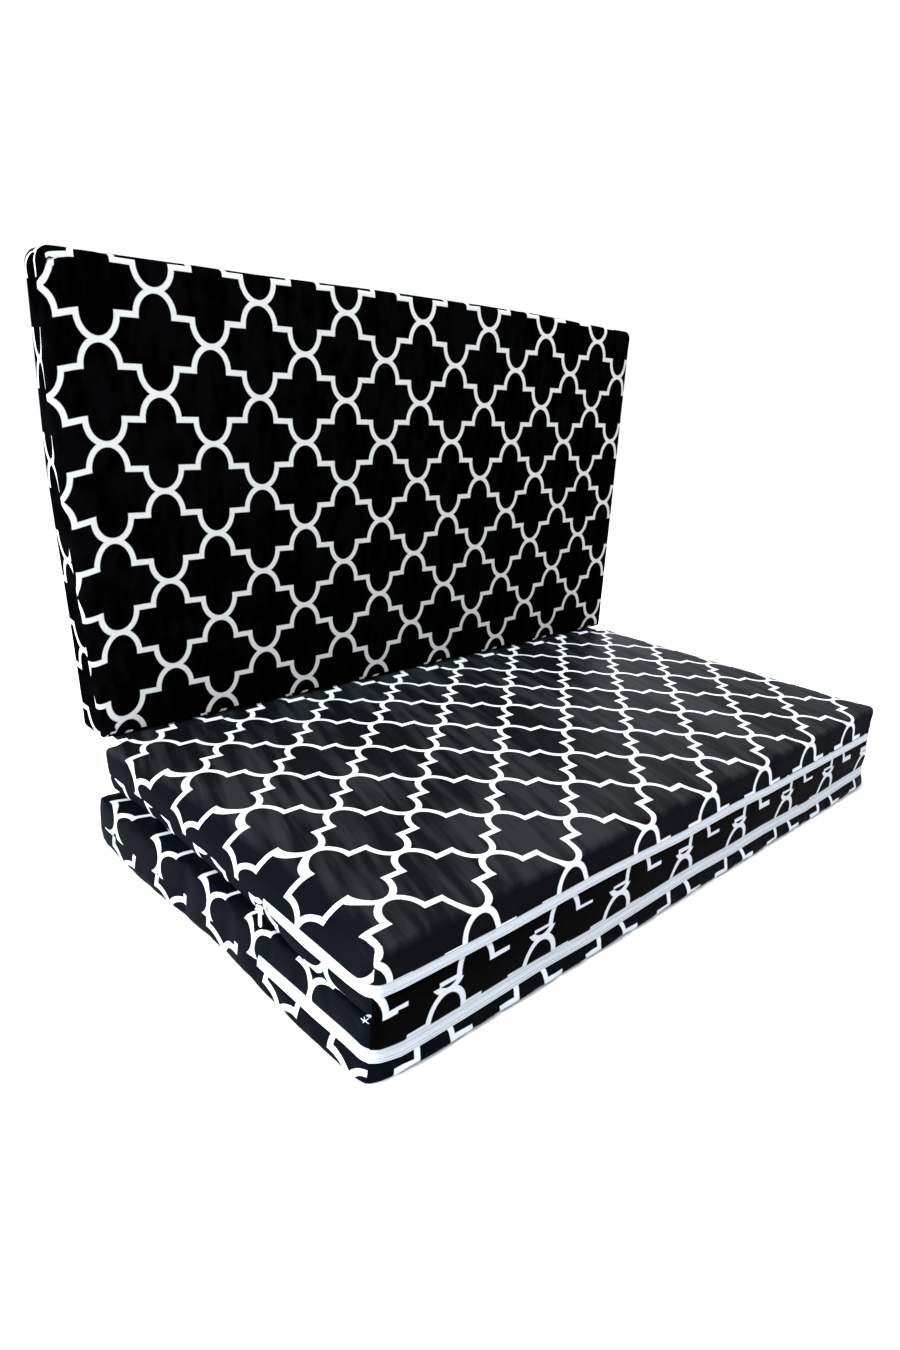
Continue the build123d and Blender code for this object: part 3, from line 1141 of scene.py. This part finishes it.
@dataclass
class Zip:
    """The zip of one panel: two woven tapes and two rows of coil that follow the panel's edge."""

    panel: Panel
    halves: tuple
    tape: bpy.types.Material
    coil: bpy.types.Material
    side_steps: int = 20
    corner_steps: int = 6

    def stations(self) -> list[tuple[Matrix, float]]:
        """Returns the places that the zip runs through, each with its distance from the zip's start."""
        step = 0.01
        quarter = math.pi / 2
        places = []
        turns = []
        if self.panel.zip_on_left:
            places += [(-HALF_LENGTH, ZIP_END_V + i * step, quarter) for i in range(self.side_steps)]
            turns = [quarter * (1 - i / self.corner_steps) for i in range(self.corner_steps + 1)]
        for turn in turns:
            x = -HALF_LENGTH + CORNER_ROUND * (1 - math.sin(turn))
            places.append((x, PANEL_DEPTH - CORNER_ROUND * (1 - math.cos(turn)), turn))
        places += [(i / 100, PANEL_DEPTH, 0.0) for i in range(-58, 59)]
        for i in range(self.corner_steps + 1):
            turn = -quarter * i / self.corner_steps
            x = HALF_LENGTH - CORNER_ROUND * (1 + math.sin(turn))
            places.append((x, PANEL_DEPTH - CORNER_ROUND * (1 - math.cos(turn)), turn))
        places += [(HALF_LENGTH, 0.62 - i * step, -quarter) for i in range(self.side_steps)]
        run = 0.0
        found = []
        last = None
        for x, v, turn in places:
            if last is not None:
                run += math.hypot(x - last[0], v - last[1])
            last = (x, v)
            found.append((Matrix.Translation((x, v, ZIP_W)) @ Matrix.Rotation(turn, 4, "Z"), run))
        return found

    def sweep(self, name: str, profile: list, material: bpy.types.Material) -> bpy.types.Object:
        """Draws a profile along the zip.

        Args:
            name: the piece's name.
            profile: (out of the panel, through it) of each corner, in metres.
            material: its finish.

        Returns:
            The piece.
        """
        bm = bmesh.new()
        stations = self.stations()
        ring = [bm.verts.new((0.0, out, through)) for out, through in profile]
        edges = [bm.edges.new((ring[i], ring[(i + 1) % len(ring)])) for i in range(len(ring))]
        bmesh.ops.transform(bm, matrix=stations[0][0], verts=ring)
        levels = {vert: (stations[0][1], point[1]) for vert, point in zip(ring, profile)}
        for (before, _), (after, run) in zip(stations, stations[1:]):
            grown = bmesh.ops.extrude_edge_only(bm, edges=edges)["geom"]
            verts = [g for g in grown if isinstance(g, bmesh.types.BMVert)]
            edges = [
                g for g in grown
                if isinstance(g, bmesh.types.BMEdge) and all(v in verts for v in g.verts)
            ]
            flat = before.inverted()
            for vert in verts:
                levels[vert] = (run, (flat @ vert.co).z)
            bmesh.ops.transform(bm, matrix=after @ flat, verts=verts)
        bmesh.ops.holes_fill(bm, edges=[e for e in bm.edges if e.is_boundary], sides=0)
        bmesh.ops.recalc_face_normals(bm, faces=bm.faces)
        lay_sheet(bm, levels)
        write_points(bm, self.panel.settle(read_points(bm)))
        bmesh.ops.transform(bm, matrix=self.panel.place, verts=bm.verts)
        piece = make_piece(name, bm, material)
        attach(piece, self.panel.body)
        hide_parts(name)
        return piece

    def build(self) -> list[bpy.types.Object]:
        """Returns the zip's four pieces."""
        tape = [
            (-0.0001, 0.0019), (-0.0002, 0.0070), (-0.0026, 0.0088), (-0.0026, 0.0133),
            (-0.0034, 0.0133), (-0.0034, 0.0084), (-0.0010, 0.0066), (-0.0009, 0.0019),
        ]
        coil = [(-0.0012, 0.0001)]
        for turn in np.linspace(0, math.pi, 7):
            coil.append((-0.0004 + 0.0008 * math.sin(turn), 0.0011 - 0.0010 * math.cos(turn)))
        coil.append((-0.0012, 0.0021))
        pieces = []
        for half, way in zip(self.halves, (1, -1)):
            pieces.append(self.sweep(
                f"{self.panel.name}_zip_tape_{half}", [(out, way * w) for out, w in tape], self.tape
            ))
            pieces.append(self.sweep(
                f"{self.panel.name}_zip_coil_{half}", [(out, way * w) for out, w in coil], self.coil
            ))
        LOG.info("%s zip: %d pieces", self.panel.name, len(pieces))
        return pieces


@dataclass
class FrontHinge:
    """The strip of cover cloth that runs from the base's zip over the joint to the seat's zip."""

    base: Panel
    seat: Panel
    lower_cut: Trellis
    upper_cut: Trellis
    cloth: TrellisCloth
    half_length: float = HALF_LENGTH - CORNER_ROUND
    columns: int = 120
    rows: int = 12
    swell: float = 0.0022
    ripple: float = 0.0007

    def build(self) -> bpy.types.Object:
        """Returns the strip."""
        bm = bmesh.new()
        bmesh.ops.create_grid(bm, x_segments=self.columns, y_segments=self.rows, size=0.5)
        flat = read_points(bm)
        x = flat[:, 0] * 2 * (self.half_length + CORNER_ROUND * math.pi / 4)
        up = flat[:, 1] + 0.5
        arc = np.maximum(np.abs(x) - self.half_length, 0) / CORNER_ROUND
        plan_x = np.where(arc > 0, np.sign(x) * (self.half_length + CORNER_ROUND * np.sin(arc)), x)
        plan_v = PANEL_DEPTH - CORNER_ROUND * (1 - np.cos(arc))
        edges = []
        for panel, w in ((self.base, ZIP_W - ZIP_HALF_WINDOW), (self.seat, ZIP_W + ZIP_HALF_WINDOW)):
            edges.append(self.to_room(panel, np.stack([plan_x, plan_v, np.full_like(x, w)], 1)))
        along = up[:, None]
        points = edges[0] * (1 - along) + edges[1] * along
        swell = self.swell * np.sin(math.pi * up)
        points[:, 1] -= swell * np.cos(arc)
        points[:, 0] += np.sign(x) * swell * np.sin(arc)
        ripple = [self.ripple * noise.noise(Vector((p[0] * 11, p[2] * 30, 2.2))) for p in points]
        points[:, 1] -= np.array(ripple) * np.sin(math.pi * up)
        layer = bm.loops.layers.uv.new("sheet")
        lengthwise = {vert: float(x[i]) for i, vert in enumerate(bm.verts)}
        write_points(bm, points)
        for face in bm.faces:
            cut = self.upper_cut if face.calc_center_median().z > BASE_TOP_Z else self.lower_cut
            for loop in face.loops:
                loop[layer].uv = cut.sheet(lengthwise[loop.vert], loop.vert.co.z)
        bm.normal_update()
        if sum(face.normal.y for face in bm.faces) > 0:
            bmesh.ops.reverse_faces(bm, faces=bm.faces)
        piece = make_piece("front_hinge_strip", bm, self.cloth.material())
        thicken(piece, -1.0)
        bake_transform(piece)
        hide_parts("front_hinge_cloth")
        2 * (self.half_length + CORNER_ROUND * math.pi / 4)
        LOG.info("%s: %d faces", piece.name, len(piece.data.polygons))
        return piece

    @staticmethod
    def to_room(panel: Panel, points: np.ndarray) -> np.ndarray:
        """Settles points of a panel's plain block and puts them in the room.

        Args:
            panel: the panel.
            points: the points in its frame.

        Returns:
            The points in the room's frame.
        """
        settled = panel.settle(points)
        turn = np.array(panel.place.to_3x3())
        return settled @ turn.T + np.array(panel.place.translation)


@dataclass
class RearHinge:
    """The strip of cover cloth from the seat's rear side over the gap and under the back."""

    cut: Trellis
    cloth: TrellisCloth
    left: float = -0.560
    right: float = 0.580
    columns: int = 116
    ripple: float = 0.0012
    route: tuple = (
        (0.2703, 0.1066), (0.2706, 0.1150), (0.2707, 0.1250), (0.2707, 0.1340), (0.2708, 0.1420),
        (0.2722, 0.1480), (0.2755, 0.1506), (0.2800, 0.1512), (0.2860, 0.1509), (0.2920, 0.1506),
        (0.3000, 0.1506), (0.3100, 0.1506), (0.3205, 0.1506),
    )
    fold_row: int = 5
    slack_rows: tuple = (6, 7, 8)

    def build(self) -> bpy.types.Object:
        """Returns the strip."""
        route = self.route
        bm = bmesh.new()
        bmesh.ops.create_grid(bm, x_segments=self.columns, y_segments=len(route) - 1, size=0.5)
        flat = read_points(bm)
        levels = np.round((flat[:, 1] + 0.5) * (len(route) - 1)).astype(int)
        x = self.left + (flat[:, 0] + 0.5) * (self.right - self.left)
        points = np.array([(x[i], *route[levels[i]]) for i in range(len(x))])
        runs = [0.0]
        for (y0, z0), (y1, z1) in zip(route, route[1:]):
            runs.append(runs[-1] + math.hypot(y1 - y0, z1 - z0))
        ripple = np.array([self.ripple * noise.noise(Vector((p[0] * 9, 0.4, 1.7))) for p in points])
        points[:, 2] += np.where(np.isin(levels, self.slack_rows), ripple, 0.0)
        write_points(bm, points)
        fold, past_fold = runs[self.fold_row], 0.001
        lay_sheet(bm, {
            vert: self.cut.sheet(float(x[i]), -(runs[levels[i]] - fold) - past_fold)
            for i, vert in enumerate(bm.verts)
        })
        bm.normal_update()
        if sum(face.normal.z for face in bm.faces) < 0:
            bmesh.ops.reverse_faces(bm, faces=bm.faces)
        piece = make_piece("rear_hinge_strip", bm, self.cloth.material())
        thicken(piece, 1.0)
        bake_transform(piece)
        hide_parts("rear_hinge_cloth")
        self.right - self.left
        LOG.info("%s: %d faces", piece.name, len(piece.data.polygons))
        return piece


@dataclass
class CornerSewing:
    """The hand sewing at one end of the front hinge: a white star of thread and a row of grey stitches."""

    side: int
    white: bpy.types.Material
    grey: bpy.types.Material
    thread: float = 0.00042
    star_z: float = 0.0738
    star_rays: tuple = ((20, 0.0042), (80, 0.0036), (150, 0.0046), (218, 0.0090), (300, 0.0040))
    stitches: int = 6
    stitch_top: float = 0.0690
    stitch_pitch: float = 0.0050
    stitch_length: float = 0.0024

    def strand(self, bm: bmesh.types.BMesh, start: Vector, end: Vector) -> None:
        """Adds one short thread with rounded ends.

        Args:
            bm: the mesh that it goes into.
            start: its one end.
            end: its other end.
        """
        length = (end - start).length
        made = bmesh.ops.create_cone(
            bm, segments=8, radius1=self.thread, radius2=self.thread, depth=length, cap_ends=True
        )["verts"]
        edges = dict.fromkeys(e for v in made for e in v.link_edges)
        rims = [e for e in edges if abs(e.verts[0].co.z - e.verts[1].co.z) < 1e-7]
        bent = bmesh.ops.bevel(
            bm, geom=rims, offset=self.thread * 0.6, segments=2, profile=0.5, affect="EDGES", material=-1
        )["verts"]
        whole = list(dict.fromkeys([*(v for v in made if v.is_valid), *bent]))
        turn = (end - start).to_track_quat("Z", "Y").to_matrix().to_4x4()
        bmesh.ops.transform(bm, matrix=Matrix.Translation((start + end) / 2) @ turn, verts=whole)

    def build(self) -> list[bpy.types.Object]:
        """Returns the star and the row of stitches."""
        up = Vector((0, 0, 1))
        corner = Vector((self.side * (HALF_LENGTH - CORNER_ROUND), FRONT_Y + CORNER_ROUND, 0))
        out = Vector((self.side, -1, 0)).normalized()
        sideways = out.cross(up)
        dip = out * -0.0016
        star = bmesh.new()
        heart = corner + Vector((self.side, -0.35, 0)).normalized() * (CORNER_ROUND + 0.0010)
        heart += up * self.star_z
        for angle, length in self.star_rays:
            way = sideways * math.cos(math.radians(angle)) + up * math.sin(math.radians(angle))
            self.strand(star, heart, heart + way * length * 0.55 - dip * 0.2)
            self.strand(star, heart + way * length * 0.5 - dip * 0.2, heart + way * length + dip)
        name = "left" if self.side < 0 else "right"
        piece = make_piece(f"hinge_star_{name}", star, self.white)
        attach(piece, "base_panel")
        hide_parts(f"front_tack_{name}")
        row = bmesh.new()
        for i in range(self.stitches):
            top = corner + out * (CORNER_ROUND + 0.0006) + up * (self.stitch_top - i * self.stitch_pitch)
            self.strand(row, top, top - up * self.stitch_length + sideways * 0.0003)
        stitches = make_piece(f"corner_stitches_{name}", row, self.grey)
        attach(stitches, "base_panel")
        LOG.info("corner sewing %s: 2 pieces", name)
        return [piece, stitches]


@dataclass
class Studio:
    """The pale floor, the soft lights and the camera at the photograph's viewing angle.

    Each light has its name, its place, what it faces, its side in metres, its power in watts and its colour.
    """

    camera_place: tuple = (-1.06205, -0.92359, 0.68427)
    right: tuple = (0.71866, -0.69285, 0.059)
    down: tuple = (-0.19879, -0.28601, -0.93738)
    ahead: tuple = (0.66634, 0.66193, -0.34328)
    lens: float = 23.70
    shift: tuple = (-0.0071, 0.0204)
    floor_gap: float = 0.0006
    sky: tuple = (0.97, 0.98, 1.0)
    sky_strength: float = 1.08
    lights: tuple = (
        ("window_light", (-3.0, -0.1, 1.0), (0.0, 0.0, 0.1), 1.8, 190.0, (0.82, 0.91, 1.0)),
        ("rear_light", (2.4, 2.2, 1.5), (0.1, -0.1, 0.15), 1.6, 30.0, (0.93, 0.97, 1.0)),
        ("ceiling_light", (0.2, 0.3, 2.6), (0.1, 0.1, 0.15), 1.2, 78.0, (0.95, 0.98, 1.0)),
    )

    def build(self) -> None:
        """Makes the floor, the lights and the camera."""
        bm = bmesh.new()
        bmesh.ops.create_grid(bm, x_segments=1, y_segments=1, size=9.0)
        floor = make_piece("studio_floor", bm, StudioFloor().material())
        floor.data.transform(Matrix.Translation((0, 0, -self.floor_gap)))
        world = bpy.data.worlds.new("studio")
        world.use_nodes = True
        sky = world.node_tree.nodes["Background"].inputs
        sky["Color"].default_value = (*self.sky, 1.0)
        sky["Strength"].default_value = self.sky_strength
        bpy.context.scene.world = world
        bpy.context.scene.view_settings.view_transform = "Standard"
        for light in self.lights:
            self.light(*light)
        self.camera()
        LOG.info("studio: floor, %d lights, camera", len(self.lights))

    @staticmethod
    def light(name: str, place: tuple, aim: tuple, size: float, power: float, tint: tuple) -> None:
        """Adds one large soft light.

        Args:
            name: its name.
            place: where it is.
            aim: what it faces.
            size: its side in metres.
            power: its power in watts.
            tint: its colour.
        """
        data = bpy.data.lights.new(name, "AREA")
        data.size = size
        data.energy = power
        data.color = tint
        lamp = bpy.data.objects.new(name, data)
        lamp.location = place
        lamp.rotation_euler = (Vector(aim) - Vector(place)).to_track_quat("-Z", "Y").to_euler()
        bpy.context.collection.objects.link(lamp)

    def camera(self) -> None:
        """Sets the camera where the photograph was taken."""
        data = bpy.data.cameras.new("camera")
        data.sensor_fit = "AUTO"
        data.sensor_width = 36.0
        data.lens = self.lens
        data.shift_x, data.shift_y = self.shift
        data.clip_start = 0.05
        camera = bpy.data.objects.new("camera", data)
        right, down, ahead = (Vector(v) for v in (self.right, self.down, self.ahead))
        turn = Matrix((right, -down, -ahead)).transposed()
        camera.matrix_world = Matrix.Translation(self.camera_place) @ turn.to_4x4()
        bpy.context.collection.objects.link(camera)
        bpy.context.scene.camera = camera


@dataclass
class FloorSofa:
    """The whole mattress in its three panels, with all that joins them."""

    frame: dict

    @staticmethod
    def base() -> Panel:
        """Returns the base panel, not yet built."""
        cloth = TrellisCloth(
            "base_cloth", ground=(0.0014, 0.0018, 0.0034), print_white=(0.62, 0.64, 0.68), gloss=0.008,
        )
        return Panel(
            "base", "base_panel", Matrix.Translation((0, SEAT_REAR_Y, BASE_TOP_Z)) @ LYING, cloth,
            near_print=Trellis(-0.6167, SEAT_REAR_Y - 0.073, 0.0784, 0.0625),
            far_print=Trellis(-0.286, 0.6157, 0.0780, 0.0660),
            zip_rise=(
                (-0.81, 0.002), (-0.64, 0.004), (-0.60, 0.002), (-0.56, -0.0055), (-0.45, -0.004),
                (-0.35, -0.0015), (-0.25, -0.0045), (-0.05, 0.0015), (0.0, 0.0025), (0.10, -0.001),
                (0.20, 0.0005), (0.35, -0.005), (0.50, 0.0), (0.81, 0.0),
            ),
            cover_nodes=("base_foam_core", "base_cover_top", "base_cover_bottom"),
            left_lean=0.006, left_drop=0.003, near_rests=True, front_recess=(-0.01, ZIP_W - 0.004),
            foot_bow=0.014, foot_corner_square=0.8, hinge_corner_square=0.95,
            near_square=0.9, far_square=0.95,
            left_out=(
                (0.0, 0.0), (0.10, 0.008), (0.17, 0.007), (0.25, 0.001), (0.36, 0.001), (0.46, 0.007),
                (0.55, 0.011), (0.64, 0.008),
            ),
            right_out=((0.0, 0.010), (0.64, 0.010)),
            near_left_slip=((0.06, 0.014), (0.20, 0.010), (0.33, 0.006), (0.46, 0.040), (0.62, 0.040)),
        )

    @staticmethod
    def seat() -> Panel:
        """Returns the seat panel, not yet built."""
        cloth = TrellisCloth(
            # The seat's streaks are painted sheen, only on its top face above the height given
            "seat_cloth", ground=(0.0016, 0.0020, 0.0034), print_white=(0.62, 0.64, 0.70), gloss=0.018,
            crease_turn=-72.0, crease_depth=0.0045, front_dullness=0.32,
            sheen_streak=(0.0145, 0.0158, 0.0175), sheen_streak_above=0.142,
        )
        return Panel(
            "seat", "seat_panel", Matrix.Translation((0, SEAT_REAR_Y, SEAT_TOP_Z)) @ LYING, cloth,
            near_print=Trellis(0.0235, SEAT_REAR_Y - 0.17537, 0.07835, 0.06753, slip=0.0066),
            far_print=Trellis(-0.624, 0.1655, 0.0784, 0.0675),
            zip_rise=(
                (-0.81, 0.0), (-0.64, 0.0), (-0.60, 0.003), (-0.56, -0.0008), (-0.40, -0.003),
                (-0.28, -0.0006), (-0.20, -0.0008), (-0.05, -0.0063), (0.10, -0.005), (0.20, -0.0083),
                (0.58, -0.0086), (0.81, -0.008),
            ),
            cover_nodes=("seat_foam_core", "seat_cover_top", "seat_cover_bottom"),
            near_crown=0.0025, cover_swell=0.002, wrinkle_turn=72.0, wrinkle=0.0012,
            draw_in=0.013, left_lean=0.012, left_drop=0.004, left_round=0.030,
            near_square=0.2, hinge_corner_square=0.9, hinge_square=1.0,
            hinge_recess=0.0004, front_recess=(ZIP_W + 0.004, 0.09),
            left_out=(
                (0.0, -0.010), (0.11, -0.020), (0.40, -0.019), (0.46, -0.011), (0.52, -0.002), (0.64, 0.0),
            ),
            right_out=((0.0, 0.015), (0.64, 0.011)),
            far_left_slip=(
                (0.0, 0.018), (0.20, 0.016), (0.30, 0.002), (0.36, 0.002), (0.45, 0.014), (0.64, 0.014),
            ),
        )

    @staticmethod
    def back() -> Panel:
        """Returns the back panel, not yet built."""
        # A shaded copy of the cover cloth: its darker ground and greyer print are painted shade on the
        # back's front face, and its lighter streaks are painted sheen
        cloth = TrellisCloth(
            "back_cloth_shaded", ground=(0.0002, 0.0002, 0.0003), print_white=(0.52, 0.52, 0.505), gloss=0.0,
            crease_turn=90.0, crease_depth=0.0014, sheen_streak=(0.0014, 0.0014, 0.0016),
        )
        return Panel(
            "back", "back_panel", Matrix.Translation((0, BACK_REAR_Y, SEAT_TOP_Z)) @ UPRIGHT, cloth,
            near_print=Trellis(-0.0006, 0.5255, 0.079357, 0.06515),
            far_print=Trellis(0.01444, 0.6178, 0.079357, 0.06515),
            zip_rise=LEVEL,
            cover_nodes=("back_foam_core", "back_cover_front", "back_cover_rear"),
            near_crown=0.004, far_crown=0.002, cover_swell=0.0015, wrinkle_turn=90.0, wrinkle=0.0006,
            draw_in=0.024, hinge_recess=0.0012, far_rests=False, zip_on_left=False,
            near_square=0.6, far_square=0.8, hinge_corner_square=0.9,
            left_out=(
                (0.0, 0.0), (0.20, 0.004), (0.35, 0.008), (0.45, 0.012), (0.52, 0.015), (0.60, 0.011),
                (0.64, 0.009),
            ),
            right_out=((0.0, 0.016), (0.64, 0.006)),
            zip_edge_out=((-0.6, 0.017), (-0.3, 0.016), (0.0, 0.018), (0.3, 0.016), (0.6, 0.005)),
            far_left_slip=((0.0, 0.012), (0.64, 0.008)),
        )

    def build(self) -> None:
        """Builds every piece and finishes the nodes that stay."""
        base, seat, back = self.base(), self.seat(), self.back()
        for panel in (base, seat, back):
            panel.build()
        tape = WovenTape().material()
        coil = NylonCoil().material()
        for panel in (base, seat, back):
            halves = ("front", "rear") if panel is back else ("lower", "upper")
            Zip(panel, halves, tape, coil).build()
        # A shaded copy of the cover cloth: its darker ground and greyer print are painted shade on the front
        # faces, and its lighter streaks are painted sheen
        shaded_strip_cloth = TrellisCloth(
            "front_hinge_cloth_shaded", ground=(0.0003, 0.0003, 0.0004), print_white=(0.52, 0.53, 0.56),
            gloss=0.004, sheen_streak=(0.0008, 0.0008, 0.0010),
        )
        lower_cut = Trellis(-0.191, 0.067, 0.0765, 0.0660)
        upper_cut = Trellis(-0.227, 0.044, 0.0762, 0.0660)
        FrontHinge(base, seat, lower_cut, upper_cut, shaded_strip_cloth).build()
        RearHinge(Trellis(0.0235, 0.0951, 0.07835, 0.06753), seat.cloth).build()
        white = SewingThread("white_thread").material()
        grey = SewingThread("grey_thread", (0.46, 0.47, 0.49)).material()
        for side in (-1, 1):
            CornerSewing(side, white, grey).build()
        self.finish_metal()

    def finish_metal(self) -> None:
        """Gives the sliders and pull tabs their lacquer."""
        lacquer = LacqueredZinc().material()
        for panel in ("base", "seat", "back"):
            for part in ("zip_slider", "pull_tab"):
                node = self.frame["nodes"][f"{panel}_{part}"]
                for slot in node.material_slots:
                    slot.material = lacquer
        LOG.info("sliders and tabs: lacquered")


def main() -> None:
    """Builds the mattress and its studio."""
    logging.basicConfig(level=logging.INFO, format="%(relativeCreated)d ms %(name)s: %(message)s")
    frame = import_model()
    Studio().build()
    FloorSofa(frame).build()


if __name__ == "__main__":
    main()
